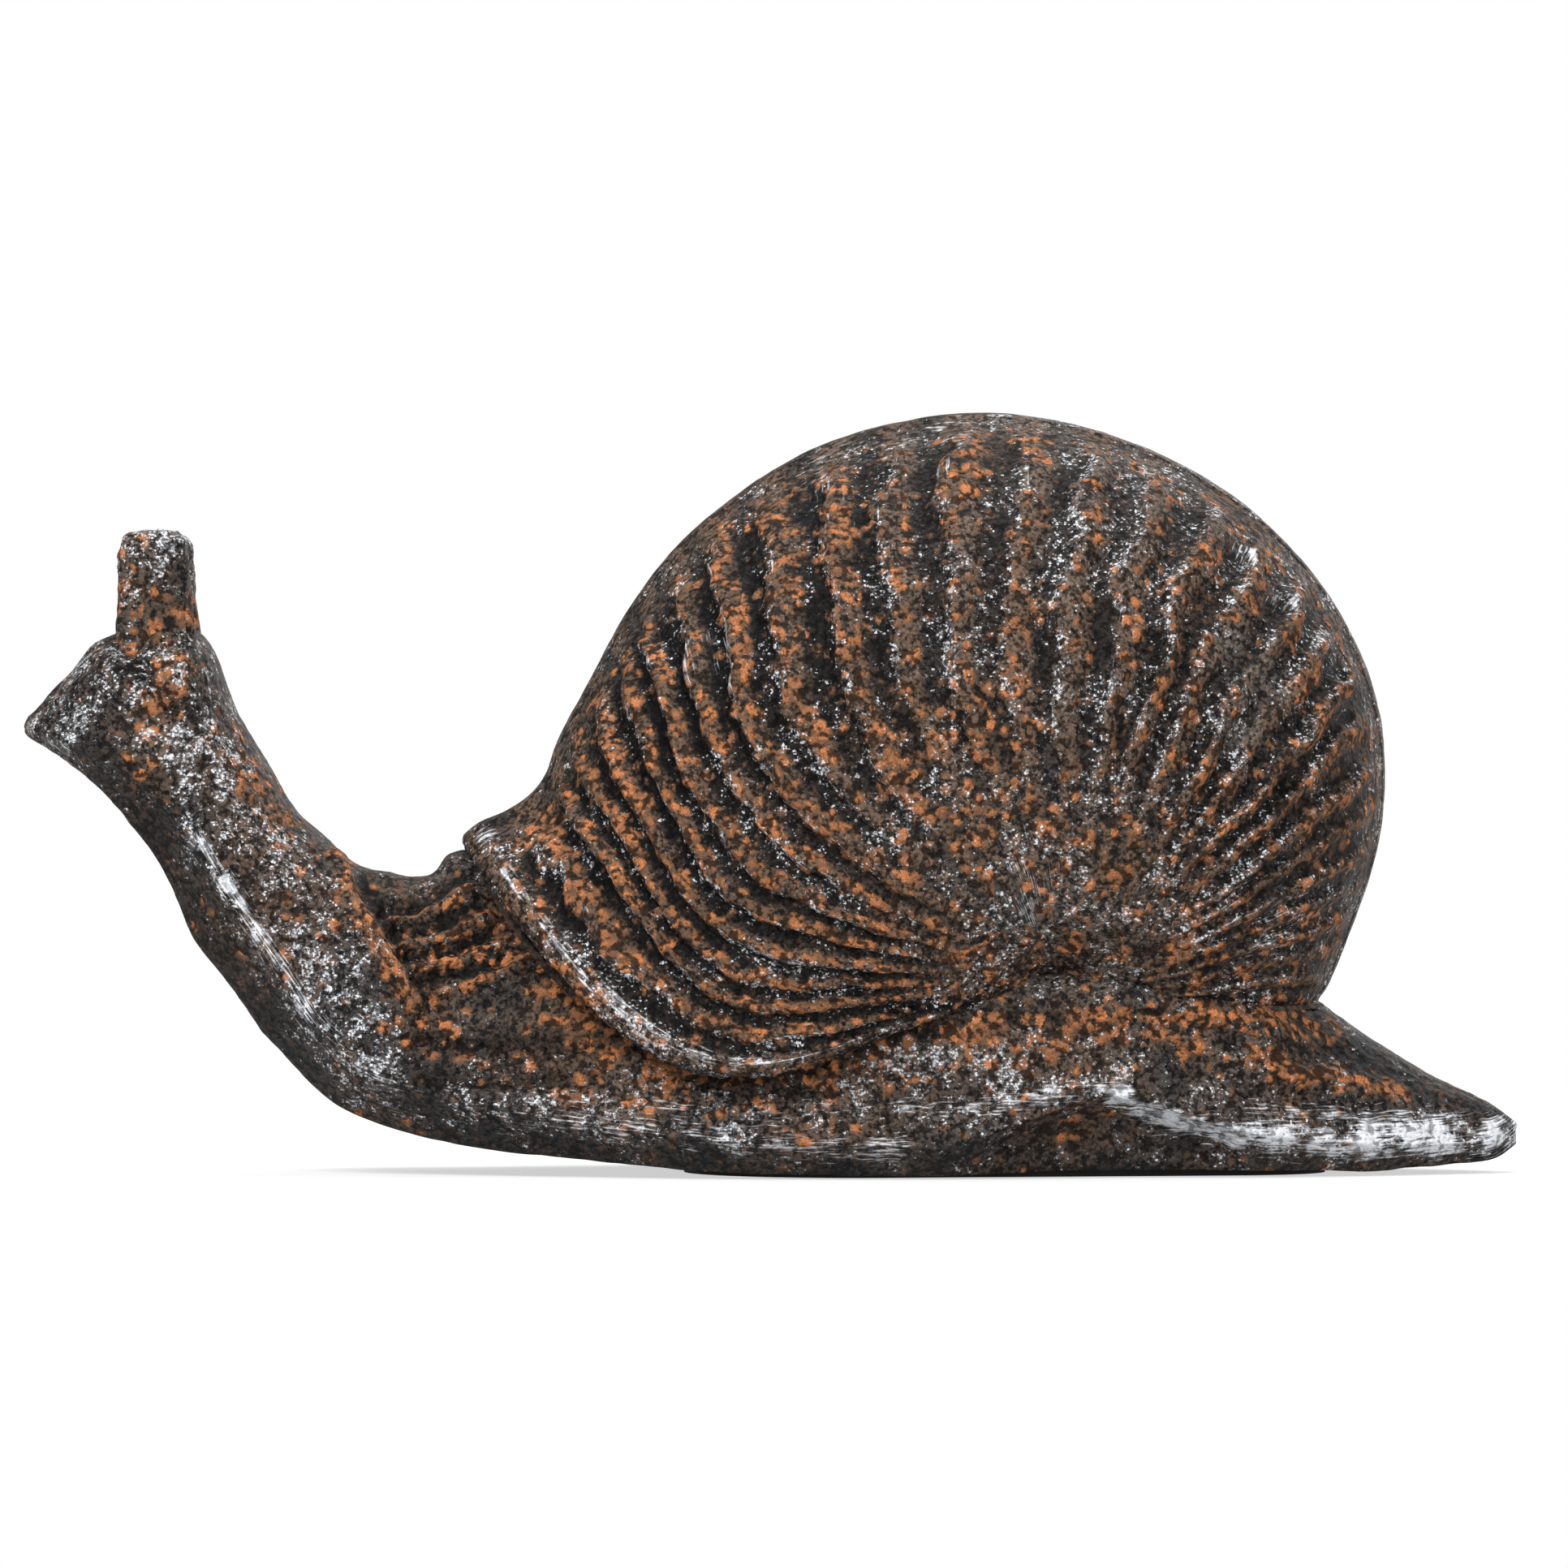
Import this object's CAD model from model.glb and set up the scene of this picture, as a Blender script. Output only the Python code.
"""Looks of the garden snail figurine: two iron castings, sponged with rust and dry-brushed with silver.

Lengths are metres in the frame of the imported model: +X towards the tail, +Z up, the ground at zero.
"""

from math import cos, radians, sin

import bpy
import numpy as np
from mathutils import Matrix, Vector


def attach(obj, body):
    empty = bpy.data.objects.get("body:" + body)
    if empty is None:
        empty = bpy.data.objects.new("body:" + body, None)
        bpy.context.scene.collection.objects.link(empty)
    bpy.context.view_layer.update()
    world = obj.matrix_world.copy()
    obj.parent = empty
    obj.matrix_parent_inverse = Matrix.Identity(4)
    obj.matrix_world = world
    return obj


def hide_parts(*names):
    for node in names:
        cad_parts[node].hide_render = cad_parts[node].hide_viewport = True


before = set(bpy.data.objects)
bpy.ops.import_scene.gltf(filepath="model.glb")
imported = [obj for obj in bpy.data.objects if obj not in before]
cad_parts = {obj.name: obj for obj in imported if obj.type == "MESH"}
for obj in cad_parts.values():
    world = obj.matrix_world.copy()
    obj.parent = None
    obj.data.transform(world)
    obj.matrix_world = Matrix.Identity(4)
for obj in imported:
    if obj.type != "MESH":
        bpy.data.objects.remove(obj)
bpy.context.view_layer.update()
scene = bpy.context.scene

# Camera: the photograph is taken from the snail's left side with a long lens, a little above the
# middle of the figure. The aim point is the middle of the picture on the figure's middle plane.
aim = Vector((0.0032, 0.0, 0.1042))
view_elevation = radians(0.5)
view_distance = 3.513


def add_object(name, data):
    """A new object in the scene."""
    made = bpy.data.objects.new(name, data)
    scene.collection.objects.link(made)
    return made


camera_data = bpy.data.cameras.new("photo_camera")
camera_data.lens = 300.0
camera_data.sensor_width = 36.0
camera_data.clip_start = 0.05
camera_data.clip_end = 20.0
camera = add_object("photo_camera", camera_data)
towards_camera = Vector((0.0, -cos(view_elevation), sin(view_elevation)))
camera.location = aim + towards_camera * view_distance
camera.rotation_euler = (-towards_camera).to_track_quat("-Z", "Y").to_euler()
scene.camera = camera
scene.view_settings.view_transform = "Standard"

# Studio: a wide white floor under white air, with large soft lamps above, in front and behind. The
# floor gives off some of its own white and keeps the figure's soft shadow. Farther out it is all glow.
floor_half = 6.0
floor_drop = 0.0002  # keeps the floor's face clear of the pad's
floor_white, floor_glow = 0.44, 0.60
shadow_reach = (0.30, 0.75)  # metres from the middle, between which the floor turns to plain glow
air_level = 0.30
lamps = [  # name, place, size and power
    ("key_lamp", (-0.9, -1.5, 1.6), 1.2, 43.0),
    ("front_lamp", (0.8, -1.9, 0.7), 1.4, 23.0),
    ("top_lamp", (0.1, 0.4, 2.0), 1.2, 29.0),
    ("back_lamp", (0.9, 1.9, 0.9), 1.6, 14.0),
]
for lamp_name, place, size, power in lamps:
    lamp_data = bpy.data.lights.new(lamp_name, "AREA")
    lamp_data.size = size
    lamp_data.energy = power
    lamp = add_object(lamp_name, lamp_data)
    lamp.location = place
    lamp.rotation_euler = (Vector(place) - aim).to_track_quat("Z", "Y").to_euler()

floor_mesh = bpy.data.meshes.new("studio_floor")
floor_corners = [(-1, -1), (1, -1), (1, 1), (-1, 1)]
floor_spots = [(x * floor_half, y * floor_half, -floor_drop) for x, y in floor_corners]
floor_mesh.from_pydata(floor_spots, [], [(0, 1, 2, 3)])
floor = add_object("studio_floor", floor_mesh)


def place_node(tree, kind, values=(), **settings):
    """Adds a node. Each value is linked if it comes from another node, and set if it is plain."""
    node = tree.nodes.new(kind)
    for name, setting in settings.items():
        setattr(node, name, setting)
    for socket, value in dict(values).items():
        if isinstance(value, bpy.types.NodeSocket):
            tree.links.new(value, node.inputs[socket])
        else:
            node.inputs[socket].default_value = value
    return node


def calculate(tree, operation, *values, clamp=False):
    """The result of a sum on up to three values."""
    kind = "ShaderNodeMath"
    node = place_node(tree, kind, dict(enumerate(values)), operation=operation, use_clamp=clamp)
    return node.outputs[0]


def scaled(tree, value, by, plus=0.0):
    """A value times another, with a third added."""
    return calculate(tree, "MULTIPLY_ADD", value, by, plus)


def summed(tree, total, *parts):
    """A total and some values, each with its weight."""
    for value, weight in parts:
        total = scaled(tree, value, weight, total)
    return total


def rise(tree, value, start, end, low=0.0, high=1.0):
    """A smooth step from low to high as the value goes from start to end."""
    places = {"Value": value, "From Min": start, "From Max": end, "To Min": low, "To Max": high}
    node = place_node(tree, "ShaderNodeMapRange", places, interpolation_type="SMOOTHSTEP")
    return node.outputs["Result"]


def new_material(name):
    """An empty material, its node tree, the tree's output and the place on the object."""
    material = bpy.data.materials.new(name)
    material.use_nodes = True
    tree = material.node_tree
    tree.nodes.clear()
    place = place_node(tree, "ShaderNodeTexCoord").outputs["Object"]
    return material, tree, tree.nodes.new("ShaderNodeOutputMaterial"), place


floor_paint, tree, output, place = new_material("studio_white")
seen = place_node(tree, "ShaderNodeLightPath")
straight = calculate(tree, "MAXIMUM", seen.outputs["Is Camera Ray"], seen.outputs["Is Glossy Ray"])
straight = calculate(tree, "MAXIMUM", straight, seen.outputs["Is Transmission Ray"])
glow = scaled(tree, straight, floor_glow)
paper = place_node(tree, "ShaderNodeBsdfDiffuse", {"Color": (floor_white, floor_white, floor_white, 1)})
glowing = place_node(tree, "ShaderNodeEmission", {"Strength": glow})
both = place_node(tree, "ShaderNodeAddShader", {0: paper.outputs[0], 1: glowing.outputs[0]})
far_glow = place_node(tree, "ShaderNodeEmission", {"Strength": 1.0})
from_middle = place_node(tree, "ShaderNodeVectorMath", {0: place}, operation="LENGTH").outputs["Value"]
far = scaled(tree, rise(tree, from_middle, *shadow_reach), straight)
faded = place_node(tree, "ShaderNodeMixShader", {"Fac": far, 1: both.outputs[0], 2: far_glow.outputs[0]})
tree.links.new(faded.outputs[0], output.inputs["Surface"])
floor_mesh.materials.append(floor_paint)

world = bpy.data.worlds.new("studio_air")
scene.world = world
world.use_nodes = True
tree = world.node_tree
tree.nodes.clear()
seen = place_node(tree, "ShaderNodeLightPath")
straight = calculate(tree, "MAXIMUM", seen.outputs["Is Camera Ray"], seen.outputs["Is Transmission Ray"])
level = scaled(tree, straight, 1.0 - air_level, air_level)
air = place_node(tree, "ShaderNodeBackground", {"Color": (1, 1, 1, 1), "Strength": level})
output = tree.nodes.new("ShaderNodeOutputWorld")
tree.links.new(air.outputs[0], output.inputs["Surface"])

# Body casting: the foot, tail, neck and head in one hollow piece of grey iron, cast in sand. The
# stations are the shares that the casting is laid out by, from the tail tip to the snout: the sole
# point along and up, the back point along and up, the half width, the sole's width, the height of the
# crease, and the widths of the flank and of the shoulder.
figure_length = 0.400
pad_stand = 0.001
head_height = 0.146
foot_size = (0.065, 0.118)
neck_size = (head_height, 0.056)
head_size = (head_height, 0.054)
foot_station_shares = [
    (1.000, 0.100, 1.000, 0.190, 0.070, 0.70, 0.35, 0.92, 0.62),
    (0.991, 0.060, 0.991, 0.235, 0.145, 0.72, 0.32, 0.90, 0.58),
    (0.970, 0.030, 0.970, 0.305, 0.265, 0.75, 0.29, 0.87, 0.54),
    (0.930, 0.010, 0.930, 0.430, 0.440, 0.77, 0.24, 0.84, 0.52),
    (0.870, 0.005, 0.870, 0.680, 0.660, 0.79, 0.19, 0.84, 0.56),
    (0.825, 0.010, 0.825, 0.870, 0.795, 0.80, 0.18, 0.90, 0.74),
    (0.775, 0.015, 0.775, 0.950, 0.885, 0.76, 0.24, 0.92, 0.80),
    (0.727, 0.015, 0.727, 0.975, 0.935, 0.74, 0.32, 0.92, 0.82),
    (0.685, 0.010, 0.685, 0.985, 0.965, 0.78, 0.25, 0.91, 0.80),
    (0.635, 0.000, 0.635, 1.000, 0.990, 0.84, 0.15, 0.88, 0.74),
    (0.550, 0.000, 0.550, 1.000, 1.000, 0.86, 0.13, 0.85, 0.68),
    (0.460, 0.010, 0.460, 1.010, 0.960, 0.86, 0.13, 0.83, 0.64),
    (0.375, 0.055, 0.375, 1.140, 0.820, 0.82, 0.14, 0.82, 0.56),
    (0.310, 0.095, 0.305, 1.300, 0.700, 0.76, 0.15, 0.80, 0.50),
    (0.270, 0.140, 0.273, 1.215, 0.640, 0.68, 0.17, 0.85, 0.60),
]
neck_station_shares = [
    (0.2275, 0.096, 0.2425, 0.548, 1.28, 0.62, 0.20, 0.91, 0.66),
    (0.1975, 0.144, 0.2225, 0.568, 1.20, 0.57, 0.23, 0.94, 0.69),
    (0.1700, 0.233, 0.2050, 0.610, 1.12, 0.53, 0.26, 0.95, 0.70),
    (0.1450, 0.329, 0.1800, 0.678, 1.06, 0.50, 0.29, 0.95, 0.70),
    (0.1175, 0.431, 0.1575, 0.767, 1.02, 0.50, 0.30, 0.95, 0.70),
]
head_station_shares = [
    (0.0900, 0.562, 0.1350, 0.890, 1.00, 0.54, 0.27, 0.95, 0.74),
    (0.0650, 0.668, 0.1180, 0.983, 1.01, 0.62, 0.18, 0.95, 0.82),
    (0.0350, 0.743, 0.0725, 0.990, 0.96, 0.70, 0.13, 0.92, 0.80),
    (0.0125, 0.784, 0.0250, 0.911, 0.60, 0.74, 0.14, 0.88, 0.64),
    (0.0040, 0.797, 0.0090, 0.868, 0.38, 0.76, 0.18, 0.88, 0.62),
    (0.0000, 0.803, 0.0000, 0.832, 0.17, 0.76, 0.22, 0.88, 0.62),
]
flank_level_share = 0.38
shoulder_level_share = 0.77
ring_knot_shares = [0.0, 0.36, 0.70, 1.0, 1.30, 1.64, 2.0]  # round the flanks, from crease to crease
body_rows = 430
sole_steps = 9
face_steps = 12  # up the face from the sole's edge to the crease
flank_steps = 84


def spline_weights(knots, samples):
    """Weights that carry values at the knots to a natural cubic spline at the samples."""
    knots = np.asarray(knots, float)
    samples = np.asarray(samples, float)
    count = len(knots)
    gap = np.diff(knots)
    bend_sums = np.eye(count)
    value_sums = np.zeros((count, count))
    for i in range(1, count - 1):
        before, after = gap[i - 1], gap[i]
        bend_sums[i, i - 1 : i + 2] = before, 2 * (before + after), after
        value_sums[i, i - 1 : i + 2] = 6 / before, -6 / before - 6 / after, 6 / after
    bends = np.linalg.solve(bend_sums, value_sums)
    span = np.clip(np.searchsorted(knots, samples, side="right") - 1, 0, count - 2)
    width = gap[span]
    near = (knots[span + 1] - samples) / width
    far = 1 - near
    weights = ((near**3 - near) * width**2 / 6)[:, None] * bends[span]
    weights += ((far**3 - far) * width**2 / 6)[:, None] * bends[span + 1]
    rows = np.arange(len(samples))
    weights[rows, span] += near
    weights[rows, span + 1] += far
    return weights


def smooth_step(value, start, end):
    """A smooth step from 0 to 1 as the value goes from start to end."""
    share = np.clip((value - start) / (end - start), 0, 1)
    return share * share * (3 - 2 * share)


def sized_stations(rows, size):
    """Stations as sole and back points, half width, sole's edge, crease, flank and shoulder."""
    height, width = size
    sized = []
    for row in rows:
        sole_x, back_x = ((row[i] - 0.5) * figure_length for i in (0, 2))
        sole_z, back_z = (pad_stand + row[i] * height for i in (1, 3))
        sized.append((sole_x, sole_z, back_x, back_z, row[4] * width / 2, *row[5:]))
    return sized


stations = sized_stations(foot_station_shares, foot_size)
stations += sized_stations(neck_station_shares, neck_size)
stations += sized_stations(head_station_shares, head_size)
stations = np.array(stations)
middles = (stations[:, 0:2] + stations[:, 2:4]) / 2
station_knots = np.concatenate([[0], np.cumsum(np.linalg.norm(np.diff(middles, axis=0), axis=1))])
along = np.linspace(0, station_knots[-1], body_rows)
rows = spline_weights(station_knots, along) @ stations
sole_x, sole_z, back_x, back_z, half, sole_edge, crease, flank, shoulder = rows.T[:, :, None]
lean_x, lean_z = back_x - sole_x, back_z - sole_z
length = np.hypot(lean_x, lean_z)

# the half outline's points, from the middle of the sole to the middle of the back
edge_share = np.linspace(0, 1, sole_steps + 1)[:-1]
face_share = np.linspace(0, 1, face_steps + 1)[:-1]
flank_weights = spline_weights(ring_knot_shares, np.linspace(0, 1, flank_steps + 1))
level = crease * length
rest = length - level
side_y = [half, flank * half, shoulder * half, 0 * half, -shoulder * half, -flank * half, -half]
side_h = [level, level + flank_level_share * rest, level + shoulder_level_share * rest, length]
side_h += side_h[2::-1]
flank_y = np.concatenate(side_y, axis=1) @ flank_weights.T
flank_h = np.concatenate(side_h, axis=1) @ flank_weights.T
sole_half = sole_edge * half
half_y = [edge_share * sole_half, sole_half + face_share * (half - sole_half), flank_y]
half_y = np.concatenate(half_y, axis=1)
half_h = np.concatenate([0 * edge_share * half, face_share * level, flank_h], axis=1)
ring_y = np.concatenate([half_y, -half_y[:, -2:0:-1]], axis=1)
ring_h = np.concatenate([half_h, half_h[:, -2:0:-1]], axis=1)
ring_x, ring_z = sole_x + lean_x / length * ring_h, sole_z + lean_z / length * ring_h
body_points = np.stack([ring_x, ring_y, ring_z], axis=2)


def both_sides(half_ring):
    """Values for half an outline, carried on round the other half and along every row."""
    return np.concatenate([half_ring, half_ring[-2:0:-1]]) + 0 * ring_h


flank_share = [np.zeros(sole_steps + face_steps), np.linspace(0, 1, flank_steps + 1)]
under_share = [np.ones(sole_steps), 1 - face_share, np.zeros(flank_steps + 1)]
flank_share, under_share = both_sides(np.concatenate(flank_share)), both_sides(np.concatenate(under_share))

# Folds that the pattern maker cut into the body, seen from the side: the line that each follows, its
# half width and its height, which is negative for a groove.
collar = [(-0.1165, 0.086), (-0.1125, 0.074), (-0.105, 0.0626), (-0.0953, 0.0452)]
mantle_ropes = [  # each with its height and its weight of rust
    ([(-0.104, 0.0745), (-0.095, 0.076), (-0.086, 0.081)], 0.0038, 0.0),
    ([(-0.102, 0.068), (-0.091, 0.07), (-0.081, 0.0755)], 0.0042, 0.9),
    ([(-0.099, 0.0615), (-0.088, 0.0638), (-0.077, 0.069)], 0.0042, 1.0),
    ([(-0.096, 0.0552), (-0.085, 0.0575), (-0.073, 0.0625)], 0.0038, 1.0),
    ([(-0.092, 0.049), (-0.081, 0.0512), (-0.069, 0.0555)], 0.0034, 0.9),
]
rope_half, rope_rust_half = 0.0019, 0.0017
tail_wave = [(0.129, 0.033), (0.1398, 0.0264), (0.15, 0.0264), (0.1681, 0.0205)]
skirt_folds = [
    [(0.015, 0.024), (0.016, 0.013)],
    [(0.022, 0.025), (0.024, 0.013)],
    [(0.031, 0.025), (0.033, 0.013)],
    [(0.04, 0.024), (0.043, 0.014)],
]
fold_lines = [
    # the collar behind the neck, the sunken mantle and the grooves below it
    (collar, 0.0027, 0.0048),
    ([(-0.1035, 0.075), (-0.094, 0.064), (-0.082, 0.06), (-0.074, 0.064)], 0.011, -0.0042),
    ([(-0.093, 0.036), (-0.078, 0.0335), (-0.062, 0.0335), (-0.046, 0.036)], 0.0022, -0.0022),
    ([(-0.092, 0.025), (-0.075, 0.0265), (-0.06, 0.0255), (-0.046, 0.0265)], 0.002, -0.0018),
    # the waves down to the tail
    ([(0.0966, 0.0436), (0.1123, 0.0397), (0.1247, 0.0367), (0.1341, 0.0316)], 0.003, -0.0026),
    ([(0.1059, 0.0336), (0.1153, 0.0297), (0.1278, 0.0229), (0.1415, 0.0223)], 0.003, -0.0024),
    (tail_wave, 0.003, 0.0018),
    ([(0.1467, 0.0213), (0.1599, 0.0161)], 0.002, -0.0014),
    # the arch of the foot under the crease
    ([(0.062, 0.006), (0.078, 0.012), (0.0905, 0.0145), (0.104, 0.01), (0.116, 0.006)], 0.007, -0.004),
    # the cheek's muscle, and the groove before it
    ([(-0.16, 0.131), (-0.1545, 0.148)], 0.0035, 0.0016),
    ([(-0.1764, 0.1466), (-0.1607, 0.126)], 0.0022, -0.0018),
]
fold_lines += [(rope, rope_half, height) for rope, height, _ in mantle_ropes]
fold_lines += [(line, 0.0013, -0.001) for line in skirt_folds]
# Broader fullness or hollowness of the casting than its stations give, in the same form.
outline_lines = [
    # the back of the neck, and the corner where it runs up under the shell's lip
    ([(-0.152, 0.139), (-0.142, 0.12), (-0.131, 0.102)], 0.01, -0.0006),
    ([(-0.1245, 0.095), (-0.111, 0.0845)], 0.008, -0.0015),
    ([(-0.0865, 0.0845), (-0.0835, 0.088)], 0.0045, 0.0045),
    # the head's upper slope and its jaw, and the chest
    ([(-0.197, 0.1265), (-0.19, 0.1335)], 0.005, -0.0014),
    ([(-0.182, 0.1425), (-0.177, 0.1468)], 0.005, 0.0022),
    ([(-0.198, 0.1165), (-0.184, 0.105), (-0.172, 0.094)], 0.006, 0.0012),
    ([(-0.152, 0.063), (-0.1365, 0.04)], 0.009, 0.002),
]
# Where the finish was flecked with silver, brushed with it in long strokes, sponged with rust or left
# black: line, half width and weight.
silver_lines = [
    ([(-0.1555, 0.0935), (-0.1445, 0.0765), (-0.131, 0.056), (-0.122, 0.04)], 0.0035, 0.75),
    ([(-0.164, 0.136), (-0.153, 0.106), (-0.137, 0.078), (-0.118, 0.05), (-0.108, 0.034)], 0.013, 0.62),
    ([(-0.086, 0.019), (-0.06, 0.018), (-0.02, 0.0165), (0.03, 0.015)], 0.008, 0.35),
    ([(-0.122, 0.04), (-0.11, 0.02), (-0.096, 0.014)], 0.0045, 0.45),
    ([(0.02, 0.03), (0.06, 0.029), (0.09, 0.0265)], 0.008, 0.5),
    ([(0.1, 0.016), (0.12, 0.011), (0.15, 0.0095), (0.198, 0.009)], 0.006, 0.55),
    ([(-0.178, 0.138), (-0.19, 0.123)], 0.01, 0.62),
]
brushed_lines = [
    ([(-0.153, 0.0895), (-0.1445, 0.0765), (-0.131, 0.056), (-0.1235, 0.043)], 0.0034, 0.6),
    ([(-0.122, 0.042), (-0.11, 0.026), (-0.098, 0.019)], 0.0075, 0.4),
    ([(-0.07, 0.0165), (-0.03, 0.0135), (0.0, 0.01), (0.034, 0.008)], 0.0064, 0.5),
    ([(-0.086, 0.022), (-0.06, 0.02), (-0.02, 0.019), (0.03, 0.018)], 0.005, 0.38),
    ([(0.035, 0.0195), (0.06, 0.019), (0.08, 0.0245), (0.092, 0.024)], 0.0045, 0.5),
    ([(0.092, 0.0215), (0.105, 0.015), (0.12, 0.0115), (0.15, 0.0095), (0.17, 0.0095)], 0.006, 0.82),
    ([(0.128, 0.019), (0.15, 0.0165), (0.172, 0.015)], 0.0042, 0.55),
    ([(0.16, 0.0125), (0.18, 0.0095), (0.198, 0.009)], 0.0075, 0.8),
    ([(-0.199, 0.119), (-0.187, 0.1125)], 0.003, 0.4),
]
rust_lines = [
    ([(-0.16, 0.133), (-0.164, 0.118)], 0.005, 0.95),
    ([(-0.148, 0.117), (-0.13, 0.096)], 0.005, 0.65),
    (collar, 0.0027, 1.35),
    ([(-0.074, 0.066), (-0.05, 0.04), (-0.015, 0.03), (0.03, 0.033), (0.09, 0.04)], 0.008, 0.68),
    ([(0.09, 0.043), (0.13, 0.043), (0.15, 0.04)], 0.0045, 0.85),
    ([(0.0966, 0.0386), (0.1123, 0.0347), (0.1247, 0.03)], 0.0024, 0.9),
    (tail_wave, 0.0026, 1.25),
    ([(-0.15, 0.118), (-0.128, 0.092), (-0.112, 0.072)], 0.006, 0.35),
    ([(-0.095, 0.04), (-0.06, 0.026), (0.0, 0.022)], 0.009, 0.45),
]
rust_lines += [(rope, rope_rust_half, weight) for rope, _, weight in mantle_ropes]
rope_gaps = [
    [(-0.103, 0.0712), (-0.093, 0.073), (-0.083, 0.0783)],
    [(-0.1005, 0.0648), (-0.0895, 0.0669), (-0.079, 0.0722)],
    [(-0.0975, 0.0584), (-0.0865, 0.0607), (-0.075, 0.0657)],
    [(-0.094, 0.0521), (-0.083, 0.0544), (-0.071, 0.059)],
]
soot_lines = [
    ([(-0.068, 0.062), (-0.046, 0.04), (-0.018, 0.027), (0.01, 0.029), (0.033, 0.037)], 0.003, 0.9),
    ([(0.033, 0.037), (0.054, 0.0425), (0.116, 0.0425), (0.15, 0.0425)], 0.0022, 0.9),
    ([(-0.178, 0.104), (-0.153, 0.066), (-0.133, 0.034)], 0.01, 0.8),
    ([(-0.1085, 0.08), (-0.1015, 0.066), (-0.0935, 0.05)], 0.0026, 1.1),
    ([(-0.174, 0.144), (-0.169, 0.134), (-0.162, 0.126)], 0.005, 0.9),
    ([(-0.125, 0.1), (-0.112, 0.088), (-0.095, 0.081)], 0.006, 0.5),
    ([(-0.093, 0.036), (-0.046, 0.036)], 0.003, 0.8),
    ([(-0.092, 0.025), (-0.046, 0.0265)], 0.003, 0.8),
    ([(0.14, 0.04), (0.165, 0.028), (0.188, 0.018)], 0.006, 0.6),
]
soot_lines += [(gap, rope_half, 1.15) for gap in rope_gaps]


def nearness(x, z, line, half_width):
    """How near each place, seen from the side, lies to a line: 1 on it, fading over the half width."""
    nearest = np.full(x.shape, 1e3)
    for (x0, z0), (x1, z1) in zip(line, line[1:]):
        run_x, run_z = x1 - x0, z1 - z0
        share = ((x - x0) * run_x + (z - z0) * run_z) / (run_x**2 + run_z**2)
        share = np.clip(share, 0, 1)
        nearest = np.minimum(nearest, np.hypot(x - x0 - share * run_x, z - z0 - share * run_z))
    return np.exp(-((nearest / half_width) ** 2))


def gathered(x, z, lines):
    """The strongest of several weighted lines at each place."""
    total = np.zeros(x.shape)
    for line, half_width, weight in lines:
        total = np.maximum(total, weight * nearness(x, z, line, half_width))
    return total


def grid_mesh(name, points, values):
    """A closed mesh of rings of points, with the end rings closed too, and values kept on its points."""
    row_count, ring_count = points.shape[:2]
    corner = np.arange(row_count * ring_count).reshape(row_count, ring_count)
    turned = np.roll(corner, -1, axis=1)
    quads = np.stack([corner[:-1], corner[1:], turned[1:], turned[:-1]], axis=2)
    first, last = corner.size, corner.size + 1
    faces = quads.reshape(-1, 4).tolist()
    faces += [(first, a, b) for a, b in zip(corner[0].tolist(), turned[0].tolist())]
    faces += [(last, b, a) for a, b in zip(corner[-1].tolist(), turned[-1].tolist())]
    spots = np.concatenate([points.reshape(-1, 3), [points[0].mean(axis=0), points[-1].mean(axis=0)]])
    mesh = bpy.data.meshes.new(name)
    mesh.from_pydata(spots.tolist(), [], faces)
    for key, value in values.items():
        kept = np.append(value.ravel(), [0, 0]).astype(np.float32)
        mesh.attributes.new(key, "FLOAT", "POINT").data.foreach_set("value", kept)
    mesh.shade_smooth()
    return add_object(name, mesh)


# the folds waver and keep off the back's ridge, and nothing is raised on the flat of the sole
broad_waver, fine_waver = 0.0006, 0.0003
sole_rise = (0.008, 0.030)  # heights between which the smooth sole turns into the worked chest
sole_soot = 0.45
place_x, place_z = body_points[:, :, 0], body_points[:, :, 2]
relief = np.zeros(place_x.shape)
waver = broad_waver * np.sin(700 * place_x + 260 * place_z)
waver += fine_waver * np.sin(1500 * place_x - 900 * place_z)
for line, half_width, height in fold_lines:
    relief += height * nearness(place_x, place_z + waver, line, half_width)
off_sole = 1 - smooth_step(under_share, 0.75, 1.0) * (1 - smooth_step(place_z, *sole_rise))
relief *= 1 - smooth_step(flank_share, 0.78, 0.95)
for line, half_width, height in outline_lines:
    relief += height * nearness(place_x, place_z, line, half_width)
relief *= off_sole
on_flank = smooth_step(flank_share, 0.0, 0.05)
rough = (0.25 + 0.75 * on_flank) * off_sole * (1 - 0.75 * smooth_step(flank_share, 0.72, 0.9))
body_values = {
    "along": along[:, None] + 0 * ring_h,
    "beside": ring_h,
    "relief": relief,
    "roughcast": rough,
    "silver": gathered(place_x, place_z, silver_lines),
    "brushed": gathered(place_x, place_z, brushed_lines),
    "rust": gathered(place_x, place_z, rust_lines),
    "soot": np.maximum(gathered(place_x, place_z, soot_lines), sole_soot * under_share),
}
snail_body = grid_mesh("snail_body", body_points, body_values)


def new_group(name, kind, inputs, outputs):
    """An empty group with named sockets, and what enters and leaves it."""
    tree = bpy.data.node_groups.new(name, kind)
    for socket, socket_kind, *value in inputs:
        made = tree.interface.new_socket(socket, in_out="INPUT", socket_type="NodeSocket" + socket_kind)
        if value:
            made.default_value = value[0]
    for socket, socket_kind in outputs:
        tree.interface.new_socket(socket, in_out="OUTPUT", socket_type="NodeSocket" + socket_kind)
    return tree, tree.nodes.new("NodeGroupInput").outputs, tree.nodes.new("NodeGroupOutput").inputs


def noise(tree, place, scale, detail=3.0, roughness=0.5):
    """An uneven value around a half."""
    values = {"Vector": place, "Scale": scale, "Detail": detail, "Roughness": roughness}
    return place_node(tree, "ShaderNodeTexNoise", values).outputs["Fac"]


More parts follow.
